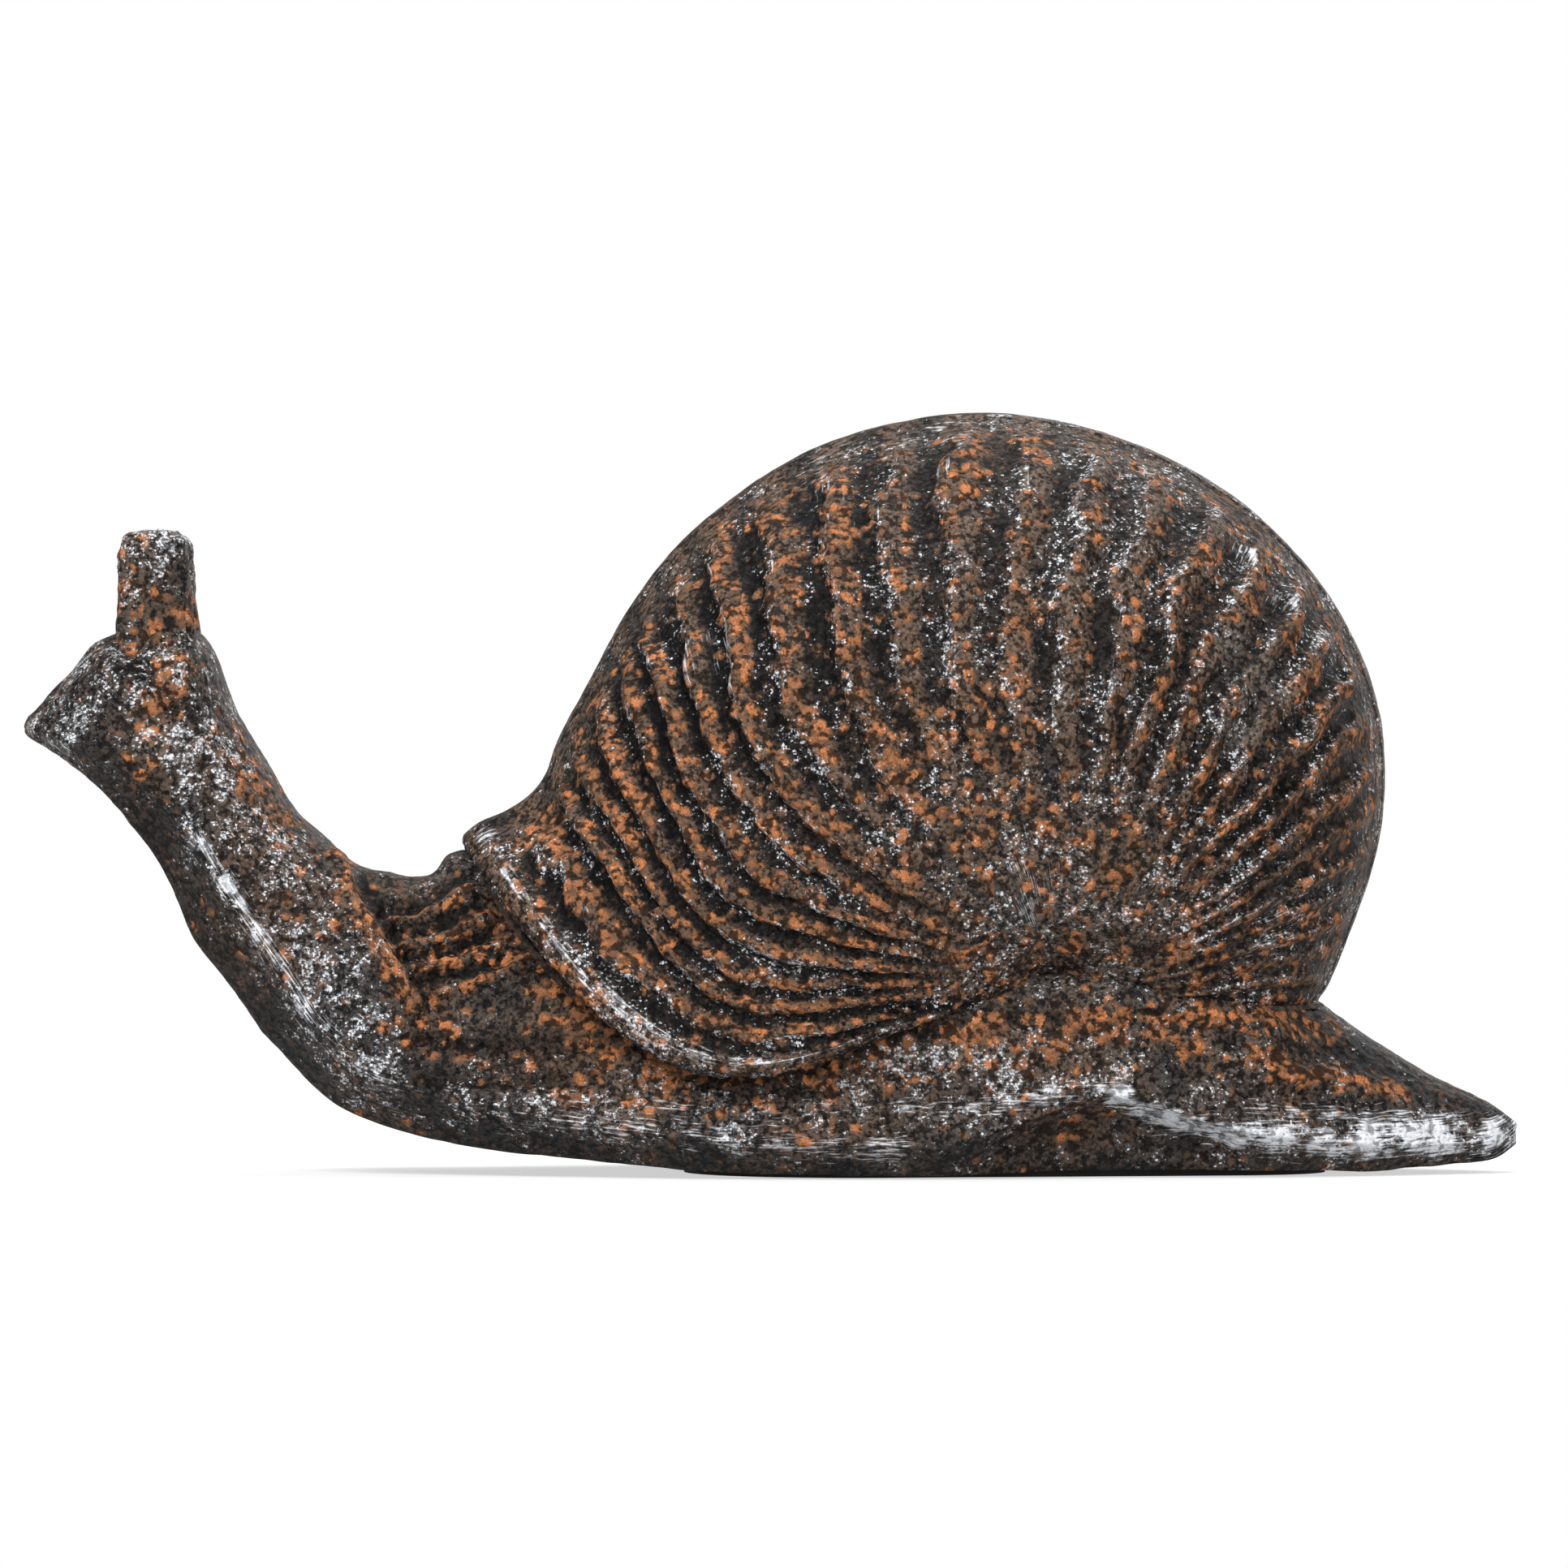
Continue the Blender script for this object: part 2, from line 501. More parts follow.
def wandering(tree, place, scale, shift):
    """A place moved about by noise, which gives what is laid out from it ragged edges."""
    wander = place_node(tree, "ShaderNodeTexNoise", {"Vector": place, "Scale": scale, "Detail": 2.0})
    values = {0: wander.outputs["Color"], 1: shift, 2: place}
    return place_node(tree, "ShaderNodeVectorMath", values, operation="MULTIPLY_ADD").outputs[0]


def scattered_cells(tree, place, scale):
    """Cells of uneven size: the distance from each one's middle, and its three lots as a colour."""
    cells = place_node(tree, "ShaderNodeTexVoronoi", {"Vector": place, "Scale": scale, "Randomness": 1.0})
    lot = place_node(tree, "ShaderNodeSeparateColor", {"Color": cells.outputs["Color"]})
    return cells.outputs["Distance"], lot.outputs


# rust dabs: round sponge marks, some cells of a pattern filled and the rest left bare
rust_group, enters, leaves = new_group(
    "rust_dabs",
    "ShaderNodeTree",
    [("Place", "Vector"), ("Amount", "Float", 0.5), ("Scale", "Float", 310.0)],
    [("Mask", "Float"), ("Heart", "Float"), ("Tint", "Float")],
)
tree = rust_group
ragged = wandering(tree, enters["Place"], 1100.0, (0.0015, 0.0015, 0.0015))
distance, lot = scattered_cells(tree, ragged, enters["Scale"])
chosen = calculate(tree, "SUBTRACT", enters["Amount"], lot["Red"])
reach = rise(tree, chosen, -0.05, 0.35, 0.0, 0.78)
edge = calculate(tree, "SUBTRACT", reach, distance)
tree.links.new(rise(tree, edge, -0.34, 0.12), leaves["Mask"])
tree.links.new(rise(tree, edge, -0.04, 0.36), leaves["Heart"])
tree.links.new(lot["Green"], leaves["Tint"])

# silver specks: fine flecks that a dry brush left on the tops of the grain, thick in some clouds
silver_group, enters, leaves = new_group(
    "silver_flecks",
    "ShaderNodeTree",
    [("Place", "Vector"), ("Amount", "Float", 0.5), ("Scale", "Float", 1350.0)],
    [("Mask", "Float"), ("Shine", "Float")],
)
tree = silver_group
ragged = wandering(tree, enters["Place"], 2600.0, (0.0016, 0.0010, 0.0010))
distance, lot = scattered_cells(tree, ragged, enters["Scale"])
broad_cloud = scaled(tree, noise(tree, enters["Place"], 150.0, 3.0), 0.9, -0.45)
small_cloud = scaled(tree, noise(tree, enters["Place"], 520.0, 2.0), 1.2, -0.6)
cloud = calculate(tree, "ADD", broad_cloud, small_cloud)
chosen = scaled(tree, lot["Red"], -0.55, calculate(tree, "ADD", enters["Amount"], cloud))
reach = rise(tree, chosen, -0.05, 0.60, 0.0, 0.66)
edge = calculate(tree, "SUBTRACT", reach, distance)
tree.links.new(rise(tree, edge, -0.06, 0.12), leaves["Mask"])
bright = scaled(tree, lot["Blue"], 0.5, edge)
tree.links.new(rise(tree, bright, 0.10, 0.75), leaves["Shine"])

# cast grain: the sand's pits and pimples, and how high each place stands for the brush and the sponge
grain_group, enters, leaves = new_group(
    "cast_grain",
    "ShaderNodeTree",
    [("Place", "Vector"), ("Scale", "Float", 900.0)],
    [("Height", "Float"), ("Tone", "Float"), ("Top", "Float")],
)
tree = grain_group
sand = noise(tree, enters["Place"], enters["Scale"], 4.0, 0.65)
values = {"Vector": enters["Place"], "Scale": scaled(tree, enters["Scale"], 0.55)}
pimples = place_node(tree, "ShaderNodeTexVoronoi", values, feature="SMOOTH_F1")
round_top = scaled(tree, pimples.outputs["Distance"], -1.1, 0.9)
total = scaled(tree, sand, 0.9, round_top)
tree.links.new(total, leaves["Height"])
tree.links.new(rise(tree, sand, 0.34, 0.66), leaves["Tone"])
tree.links.new(rise(tree, total, 0.62, 1.10), leaves["Top"])


def attribute(tree, name):
    """A value kept on the mesh."""
    return place_node(tree, "ShaderNodeAttribute", attribute_name=name).outputs["Fac"]


def blend_colour(tree, share, first, second):
    """A colour between two others."""
    values = {"Factor": share, 6: first, 7: second}
    node = place_node(tree, "ShaderNodeMix", values, data_type="RGBA", clamp_factor=True)
    return node.outputs[2]


def finish_surface(tree, output, values, height=None, depth=0.0):
    """The material's surface, with a fine relief of the given height and depth where it has one."""
    if height is not None:
        relief = place_node(tree, "ShaderNodeBump", {"Height": height, "Distance": depth})
        values["Normal"] = relief.outputs["Normal"]
    surface = place_node(tree, "ShaderNodeBsdfPrincipled", values)
    tree.links.new(surface.outputs["BSDF"], output.inputs["Surface"])


def shaded(tree, colour, level):
    """A colour made lighter or darker."""
    node = place_node(tree, "ShaderNodeVectorMath", {0: colour, "Scale": level}, operation="SCALE")
    return node.outputs[0]


black_paint = (0.0024, 0.0023, 0.0026, 1)
charcoal = (0.022, 0.0212, 0.0212, 1)
brown = (0.092, 0.058, 0.039, 1)
grey_wash = (0.112, 0.096, 0.084, 1)
rust_edge = (0.150, 0.078, 0.044, 1)
rust_heart = (0.530, 0.190, 0.070, 1)
dull_rust = (0.330, 0.132, 0.056, 1)
silver_shade = (0.20, 0.21, 0.23, 1)
silver_paint = (0.82, 0.84, 0.88, 1)
grain_depth = 0.0009
dab_thickness = 0.55  # of the grain's height
stipple_scale, hair_scale, pressure_scale = 2100.0, 1500.0, 110.0  # features to a metre
hair_stretch = 0.09  # how much narrower a hair is than it is long


def iron_finish(tree, output, place, amounts, grain_scale):
    """Lays charcoal, brown, grey, black, rust dabs, silver flecks and silver strokes over the grain."""
    kind = "ShaderNodeGroup"
    grain = place_node(tree, kind, {"Place": place, "Scale": grain_scale}, node_tree=grain_group)
    dabs = place_node(tree, kind, {"Place": place, "Amount": amounts["rust"]}, node_tree=rust_group)
    flecks = place_node(tree, kind, {"Place": place, "Amount": amounts["silver"]}, node_tree=silver_group)
    tone, top = grain.outputs["Tone"], grain.outputs["Top"]
    ground = blend_colour(tree, amounts["brown"], charcoal, brown)
    ground = blend_colour(tree, amounts["grey"], ground, grey_wash)
    ground = blend_colour(tree, amounts["soot"], ground, black_paint)
    ground = shaded(tree, ground, scaled(tree, tone, 1.5, 0.25))
    heart_colour = blend_colour(tree, rise(tree, dabs.outputs["Tint"], 0.3, 0.8), dull_rust, rust_heart)
    stipple = rise(tree, noise(tree, place, stipple_scale, 2.0), 0.36, 0.58, 0.25, 1.0)
    heart = scaled(tree, dabs.outputs["Heart"], rise(tree, top, 0.0, 0.8, 0.30, 1.0))
    heart = scaled(tree, heart, stipple)
    dab_colour = blend_colour(tree, heart, rust_edge, heart_colour)
    dab_mask = scaled(tree, dabs.outputs["Mask"], rise(tree, top, 0.0, 0.45, 0.65, 1.0))
    colour = blend_colour(tree, dab_mask, ground, dab_colour)
    colour = shaded(tree, colour, rise(tree, top, 0.0, 0.75, 0.26, 1.15))
    fleck_mask = scaled(tree, flecks.outputs["Mask"], rise(tree, top, 0.05, 0.6, 0.15, 1.0))
    fleck_colour = blend_colour(tree, flecks.outputs["Shine"], silver_shade, silver_paint)
    colour = blend_colour(tree, fleck_mask, colour, fleck_colour)
    stroke_run = scaled(tree, attribute(tree, "along"), hair_stretch)
    stroke_place = place_node(tree, "ShaderNodeCombineXYZ", {0: stroke_run, 1: attribute(tree, "beside")})
    hairs = noise(tree, stroke_place.outputs[0], hair_scale, 4.0, 0.6)
    pressure = rise(tree, noise(tree, place, pressure_scale), 0.3, 0.7, 0.55, 1.25)
    pressed = scaled(tree, amounts["brushed"], pressure)
    stroke = scaled(tree, pressed, 0.55, hairs)
    stroke = scaled(tree, rise(tree, stroke, 0.74, 0.96), rise(tree, top, 0.0, 0.5, 0.35, 1.0))
    colour = blend_colour(tree, stroke, colour, silver_paint)
    silvered = calculate(tree, "MAXIMUM", fleck_mask, stroke)
    roughness = scaled(tree, silvered, -0.10, scaled(tree, dab_mask, 0.25, 0.48))
    raised = scaled(tree, dabs.outputs["Heart"], dab_thickness, grain.outputs["Height"])
    shine = rise(tree, silvered, 0.0, 1.0, 0.10, 0.45)
    values = {"Base Color": colour, "Roughness": roughness, "Specular IOR Level": shine}
    finish_surface(tree, output, values, raised, grain_depth)


patch_scale, body_cloud_scale, body_grain_scale = 34.0, 75.0, 900.0  # features to a metre
body_iron, tree, output, place = new_material("weathered_body_iron")
patch = rise(tree, noise(tree, place, patch_scale), 0.38, 0.62)
cloud = rise(tree, noise(tree, place, body_cloud_scale), 0.36, 0.64)
rust, silver, soot = (attribute(tree, name) for name in ("rust", "silver", "soot"))
body_amounts = {
    "rust": summed(tree, 0.10, (rust, 0.78), (patch, 0.18)),
    "silver": summed(tree, 0.13, (silver, 0.54), (cloud, 0.24), (soot, -0.22)),
    "brushed": attribute(tree, "brushed"),
    "grey": scaled(tree, cloud, 0.34),
    "soot": scaled(tree, soot, 0.80),
    "brown": summed(tree, 0.0, (patch, 0.60), (rust, 0.65)),
}
iron_finish(tree, output, place, body_amounts, body_grain_scale)


def casting_tree(name, sizes):
    """A geometry tree that takes a casting, its named sizes and its paint, and gives the casting."""
    inputs = [("Casting", "Geometry")] + [(size_name, "Float", size) for size_name, size in sizes.items()]
    inputs.append(("Paint", "Material"))
    return new_group(name, "GeometryNodeTree", inputs, [("Casting", "Geometry")])


def kept_value(tree, name):
    """A value kept on the mesh, for geometry."""
    node = place_node(tree, "GeometryNodeInputNamedAttribute", {"Name": name}, data_type="FLOAT")
    return node.outputs["Attribute"]


def cast_height(tree, enters):
    """The height of sand-cast pebbles, of the pattern's gentle unevenness and of its folds and dents."""
    place = tree.nodes.new("GeometryNodeInputPosition").outputs[0]
    values = {"Vector": place, "Scale": enters["Pebbles per metre"]}
    pebbles = place_node(tree, "ShaderNodeTexVoronoi", values, feature="SMOOTH_F1")
    lumps = noise(tree, place, enters["Lumps per metre"], 2.0)
    dome = calculate(tree, "SUBTRACT", 0.45, pebbles.outputs["Distance"])
    pebble = scaled(tree, dome, enters["Pebble height"])
    pebble = scaled(tree, pebble, kept_value(tree, "roughcast"))
    lump = scaled(tree, calculate(tree, "SUBTRACT", lumps, 0.5), enters["Lump height"])
    return calculate(tree, "ADD", calculate(tree, "ADD", pebble, lump), kept_value(tree, "relief"))


def raise_surface(tree, enters, leaves, height):
    """Moves each point out by a height, then makes the result real and paints it."""
    normal = tree.nodes.new("GeometryNodeInputNormal").outputs[0]
    move = place_node(tree, "ShaderNodeVectorMath", {0: normal, "Scale": height}, operation="SCALE")
    values = {"Geometry": enters["Casting"], "Offset": move.outputs[0]}
    moved = place_node(tree, "GeometryNodeSetPosition", values)
    real = place_node(tree, "GeometryNodeRealizeInstances", {"Geometry": moved.outputs[0]})
    values = {"Geometry": real.outputs[0], "Material": enters["Paint"]}
    painted = place_node(tree, "GeometryNodeSetMaterial", values)
    tree.links.new(painted.outputs[0], leaves["Casting"])


def cast_with(tree, piece, settings):
    """Runs a geometry tree on a piece and leaves the result as its plain mesh."""
    modifier = piece.modifiers.new("casting", "NODES")
    modifier.node_group = tree
    for item in tree.interface.items_tree:
        if item.in_out == "INPUT" and item.name in settings:
            modifier[item.identifier] = settings[item.name]
    bpy.context.view_layer.update()
    evaluated = piece.evaluated_get(bpy.context.evaluated_depsgraph_get())
    made = bpy.data.meshes.new_from_object(evaluated)
    piece.modifiers.clear()
    made.name = piece.name
    piece.data = made


body_tree, enters, leaves = casting_tree(
    "sand_cast_body",
    {"Pebbles per metre": 330.0, "Pebble height": 0.0016, "Lumps per metre": 55.0, "Lump height": 0.0016},
)
raise_surface(body_tree, enters, leaves, cast_height(body_tree, enters))
cast_with(body_tree, snail_body, {"Paint": body_iron})
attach(snail_body, "root")
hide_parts("body_casting")

# Shell casting: a hollow iron shell with ribs that fan out from a hub low on each side, a smooth keel
# along the top, and a thick rolled lip at the front. It is bolted down on the body's back. Its rays
# are the casting's shares: angle, reach and fullness.
hub_x, hub_height = 0.076, 0.045
shell_height, shell_width = 0.160, 0.140
hub_half = 0.038
keel_half, keel_drop = 0.010, 0.0015
fan_ray_shares = [
    (-35.0, 0.400, 0.54),
    (-15.0, 0.425, 0.58),
    (0.0, 0.449, 0.64),
    (15.0, 0.519, 0.72),
    (30.0, 0.637, 0.81),
    (45.0, 0.754, 0.89),
    (60.0, 0.850, 0.95),
    (75.0, 0.923, 0.99),
    (90.0, 0.981, 1.00),
    (105.0, 1.014, 1.00),
    (120.0, 1.011, 1.00),
    (135.0, 0.983, 0.98),
    (146.0, 0.952, 0.96),
    (153.0, 0.945, 0.94),
    (158.0, 0.948, 0.93),
    (164.0, 1.032, 0.91),
    (175.0, 1.080, 0.90),
    (190.0, 1.020, 0.90),
    (205.0, 0.960, 0.90),
]
bulge_shares = [(0.03, 0.0), (0.17, 0.86), (0.40, 1.00), (0.65, 0.92), (0.86, 0.66), (0.99, 0.0)]
bulge_knots = [0.0, 0.19, 0.375, 0.58, 0.78, 1.0]
# how far the ribs bend forward between the hub and the keel, and how much each part of the fan bends
bend_shares = [(0.0, 0.20), (0.135, 0.586), (0.27, 0.857), (0.41, 1.0)]
bend_shares += [(0.58, 0.92), (0.72, 0.62), (0.86, 0.275), (1.0, 0.0)]
bend_angles = [(-20.0, 0.0), (60.0, 0.0), (85.0, 3.0), (110.0, 12.0)]
bend_angles += [(130.0, 19.5), (146.0, 24.0), (164.0, 27.3)]
# the angles along the keel that the main ribs run out to, with a lesser rib between each two
main_rib_angles = [-15, -4, 6.5, 17, 27, 37, 48, 59.5, 72.5, 86, 99, 112, 125, 135.5, 145, 154, 164]
lip_angle = 164.0
first_angle = -16.0
shell_rows = 395
flank_columns = 112
keel_columns = 5

fan_angles, fan_reaches, fan_fullness = np.array(fan_ray_shares).T
ray = np.linspace(first_angle, lip_angle, shell_rows)
top_reach = spline_weights(fan_angles, ray) @ (fan_reaches * shell_height)
column = np.linspace(0, 1, flank_columns)
column_weights = spline_weights(bulge_knots, column)
out_knots, full_knots = np.array(bulge_shares).T
out = column_weights @ out_knots
bend_places, bend_sizes = np.array(bend_shares).T
bend_profile = spline_weights(bend_places, np.clip(out, 0, 1)) @ bend_sizes
ray_places, ray_bends = np.array(bend_angles).T
ray_bend = np.interp(ray, ray_places, ray_bends)
angle = ray[:, None] + ray_bend[:, None] * bend_profile
radius = top_reach[:, None] * out
fullness = (spline_weights(fan_angles, angle.ravel()) @ (fan_fullness * shell_width / 2)).reshape(angle.shape)
across = fullness * (column_weights @ full_knots)
across += hub_half * column_weights[:, 0] + keel_half * column_weights[:, -1]

# the keel's low arch joins the two flanks
turn = np.linspace(0, np.pi, 2 * keel_columns + 1)[1:-1]
keel_across = np.cos(turn) * keel_half + 0 * ray[:, None]
keel_radius = top_reach[:, None] - keel_drop + np.sin(turn) * keel_drop + 0 * keel_across
keel_angle = ray[:, None] + 0 * keel_across
scale_out = (top_reach - keel_drop) / (top_reach * out[-1])
radius *= 1 + (scale_out[:, None] - 1) * smooth_step(column, 0.6, 1.0)
full_angle = np.radians(np.concatenate([angle, keel_angle, angle[:, ::-1]], axis=1))
full_radius = np.concatenate([radius, keel_radius, radius[:, ::-1]], axis=1)
full_across = np.concatenate([across, keel_across, -across[:, ::-1]], axis=1)
full_x = hub_x + full_radius * np.cos(full_angle)
full_z = hub_height + full_radius * np.sin(full_angle)
shell_points = np.stack([full_x, full_across, full_z], axis=2)
rib_phase = np.interp(ray, main_rib_angles, 2 * np.arange(len(main_rib_angles)) + 0.5)
keel_share = np.concatenate([column, np.ones(2 * keel_columns - 1) * 1.2, column[::-1]])
out_share = np.concatenate([out, np.ones(2 * keel_columns - 1), out[::-1]])
phase = rib_phase[:, None] + 0 * full_radius

# how strong the ribs are: they fade out before the hub and the keel, and low down at the rear
hub_fade = smooth_step(ray, 112.0, 140.0)[:, None]
near_fade, front_fade = smooth_step(out_share, 0.24, 0.56), smooth_step(out_share, 0.16, 0.36)
strength = (1 - hub_fade) * near_fade + hub_fade * front_fade
strength *= 1 - smooth_step(keel_share, 0.86, 0.97)
strength *= (0.50 + 0.50 * smooth_step(ray, 15.0, 55.0))[:, None]
flatter = smooth_step(ray, 70.0, 90.0) * (1 - smooth_step(ray, 105.0, 125.0))
strength *= (1 - 0.12 * flatter)[:, None]

# the lip: the front edge rolls in, is thick, and runs back inside the mouth
edge = shell_points[-1]
forward = edge - shell_points[-3]
forward[:, 1] = 0
forward /= np.linalg.norm(forward, axis=1)[:, None]
beside_edge = np.gradient(edge, axis=0)
inward = np.cross(forward, beside_edge)
inward /= np.maximum(np.linalg.norm(inward, axis=1)[:, None], 1e-9)
mouth_rise = 0.02  # of the mouth's middle over the hub
to_middle = np.array([hub_x, 0, hub_height + mouth_rise]) - edge
inward *= np.sign((inward * to_middle).sum(axis=1))[:, None]
lip_grow = smooth_step(out_share, 0.02, 0.22)[:, None]
lip_profile = [(0.0010, 0.0004), (0.0017, 0.0014), (0.0018, 0.0030), (0.0012, 0.0046)]
lip_profile += [(-0.0006, 0.0056), (-0.0040, 0.0060), (-0.0140, 0.0075)]
lip_rows = [edge + lip_grow * (forward * ahead + inward * deep) for ahead, deep in lip_profile]
lip_count = len(lip_rows)
shell_points = np.concatenate([shell_points, np.stack(lip_rows)])


def with_lip(values):
    """Values for the shell's rows, carried on as nothing over the lip's rows."""
    return np.concatenate([values, np.zeros((lip_count, values.shape[1]))])


def round_spot(x, z, radius):
    """How near each place on the shell, seen from the side, lies to a spot."""
    return np.exp(-((shell_x - x) ** 2 + (shell_z - z) ** 2) / radius**2)


# what the shell's surface carries: dents, silver strokes, the lip's bead and the groove of the seam
seam_height, seam_half, seam_depth = 0.0455, 0.0030, 0.0012
seam_front = 0.030
bead_height = 0.0010
keel_degree, flank_degree = shell_height / 57, shell_height / 90  # how far a degree runs on each
shell_x, shell_z = shell_points[:, :, 0], shell_points[:, :, 2]
ray_map = np.concatenate([ray, np.full(lip_count, lip_angle + 1.0)])[:, None] + 0 * shell_x
out_map = out_share + 0 * shell_x
strength = with_lip(strength)
strength *= 1 - smooth_step(ray_map, lip_angle - 3.0, lip_angle - 0.5)
dents = [
    (0.1300, 0.1330, 0.0080, -0.0022),
    (0.1215, 0.1420, 0.0060, -0.0016),
    (0.1250, 0.1180, 0.0055, -0.0014),
]
stroke_spots = [
    (0.068, 0.078, 0.018, 0.34),
    (0.124, 0.166, 0.006, 0.42),
    (0.133, 0.154, 0.005, 0.42),
    (0.132, 0.066, 0.014, 0.30),
    (0.098, 0.070, 0.012, 0.26),
    (-0.020, 0.140, 0.012, 0.26),
    (0.010, 0.196, 0.020, 0.34),
    (0.045, 0.205, 0.016, 0.34),
]
relief = np.zeros(shell_x.shape)
smooth_patch = np.zeros(shell_x.shape)
brushed = np.zeros(shell_x.shape)
for dent_x, dent_z, dent_radius, dent_height in dents:
    near = round_spot(dent_x, dent_z, dent_radius)
    relief += dent_height * near
    smooth_patch = np.maximum(smooth_patch, near)
for spot_x, spot_z, spot_radius, weight in stroke_spots:
    brushed = np.maximum(brushed, weight * round_spot(spot_x, spot_z, spot_radius))
strength *= 1 - 0.7 * smooth_patch
lip_bead = np.exp(-(((ray_map - lip_angle + 1.2) / 1.2) ** 2)) * smooth_step(out_map, 0.15, 0.4)
seam = np.exp(-(((shell_z - seam_height) / seam_half) ** 2)) * (shell_x > seam_front)
relief += bead_height * lip_bead - seam_depth * seam
keel_map = keel_share + 0 * shell_x
on_keel = keel_map > 0.90  # where the silver strokes run along the keel instead of out from the hub
roughcast = (1 - 0.85 * smooth_step(keel_map, 0.93, 0.99)) * (1 - 0.8 * smooth_patch)
roughcast *= 0.55 + 0.45 * smooth_step(ray_map, 100.0, 130.0)
shell_values = {
    "relief": relief,
    "roughcast": roughcast,
    "rib_phase": with_lip(phase),
    "rib_strength": strength,
    "along": np.where(on_keel, ray_map * keel_degree, out_map * shell_height),
    "beside": np.where(on_keel, out_map * shell_height, ray_map * flank_degree),
    "brushed": np.maximum(brushed, 0.42 * lip_bead),
    "keel": smooth_step(keel_map, 0.94, 1.0),
    "lip": np.where(ray_map > lip_angle, 1.0, lip_bead),
    "smooth_patch": smooth_patch,
    "deep": smooth_step(ray_map, 90.0, 112.0) * smooth_step(out_map, 0.45, 0.80) * (1 - lip_bead),
    "seam": seam,
    "crown": smooth_step(ray_map, 52.0, 72.0) * (1 - smooth_step(ray_map, 98.0, 112.0)),
}
snail_shell = grid_mesh("snail_shell", shell_points, shell_values)


def wavering_phase(tree, phase, place):
    """The ribs' phase made to waver, as ribs cut by hand in a pattern do."""
    for scale, reach in ((42.0, 0.9), (150.0, 0.5)):
        middle = calculate(tree, "SUBTRACT", phase, reach / 2)
        phase = scaled(tree, noise(tree, place, scale, 2.0), reach, middle)
    return phase


def blend_value(tree, share, first, second):
    """A value between two others."""
    return place_node(tree, "ShaderNodeMix", {"Factor": share, 2: first, 3: second}).outputs[0]


def band(tree, value, rise_places, fall_places):
    """A share that rises from 0 to 1 between two values, and falls back between two others."""
    return scaled(tree, rise(tree, value, *rise_places), rise(tree, value, *fall_places, 1.0, 0.0))


shell_cloud_scale, shell_grain_scale = 60.0, 950.0
shell_iron, tree, output, place = new_material("weathered_shell_iron")
phase = wavering_phase(tree, attribute(tree, "rib_phase"), place)
fraction = calculate(tree, "FRACT", phase)
attribute_names = ("rib_strength", "crown", "keel", "smooth_patch", "lip", "deep")
strength, crown, keel, smooth, lip, deep = (attribute(tree, name) for name in attribute_names)
patch = rise(tree, noise(tree, place, patch_scale), 0.36, 0.64)
cloud = rise(tree, noise(tree, place, shell_cloud_scale), 0.38, 0.62)
ridge = band(tree, fraction, (0.02, 0.30), (0.58, 0.74))
front_edge = band(tree, fraction, (0.50, 0.58), (0.64, 0.78))
valley = scaled(tree, calculate(tree, "SUBTRACT", 1.0, ridge), strength)
strong_ridge, strong_edge = scaled(tree, ridge, strength), scaled(tree, front_edge, strength)
plain_rust = scaled(tree, patch, 0.40, 0.20)
ribbed_rust = blend_value(tree, ridge, 0.20, summed(tree, 0.66, (patch, 0.30), (crown, -0.34)))
bare = calculate(tree, "MAXIMUM", keel, smooth)
covered = calculate(tree, "SUBTRACT", 1.0, bare, clamp=True)
silver_parts = [(cloud, 0.28), (strong_ridge, -0.14), (strong_edge, 0.32), (lip, 0.20), (deep, -0.10)]
valley_soot = scaled(tree, valley, scaled(tree, deep, 0.22, 0.72))
shell_amounts = {
    "rust": scaled(tree, blend_value(tree, strength, plain_rust, ribbed_rust), covered),
    "silver": summed(tree, 0.19, *silver_parts),
    "brushed": summed(tree, 0.06, (strong_edge, 0.26), (attribute(tree, "brushed"), 1.0)),
    "grey": scaled(tree, smooth, 0.70, scaled(tree, cloud, scaled(tree, crown, 0.24, 0.12))),
    "soot": calculate(tree, "MAXIMUM", valley_soot, attribute(tree, "seam")),
    "brown": summed(tree, 0.12, (patch, 0.30), (ridge, 0.70)),
}
iron_finish(tree, output, place, shell_amounts, shell_grain_scale)

shell_tree, enters, leaves = casting_tree(
    "sand_cast_shell",
    {
        "Pebbles per metre": 300.0,
        "Pebble height": 0.0015,
        "Lumps per metre": 45.0,
        "Lump height": 0.0016,
        "Rib height": 0.0034,
        "Lesser rib share": 0.62,
    },
)
tree = shell_tree
place = tree.nodes.new("GeometryNodeInputPosition").outputs[0]
phase = wavering_phase(tree, kept_value(tree, "rib_phase"), place)
fraction = calculate(tree, "FRACT", phase)
lesser = calculate(tree, "MODULO", calculate(tree, "FLOOR", phase), 2.0)
loss = calculate(tree, "SUBTRACT", 1.0, enters["Lesser rib share"])
rib_share = calculate(tree, "SUBTRACT", 1.0, scaled(tree, lesser, loss))
broken = scaled(tree, noise(tree, place, 130.0, 2.0), 0.9, 0.55)
ridge = band(tree, fraction, (0.0, 0.50), (0.52, 0.86))
ridge = scaled(tree, ridge, rib_share)
ridge = scaled(tree, ridge, broken, -0.28)
rib = scaled(tree, kept_value(tree, "rib_strength"), enters["Rib height"])
ridge = scaled(tree, ridge, rib)
raise_surface(tree, enters, leaves, calculate(tree, "ADD", cast_height(tree, enters), ridge))
cast_with(shell_tree, snail_shell, {"Paint": shell_iron})
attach(snail_shell, "root")
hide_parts("shell_casting")

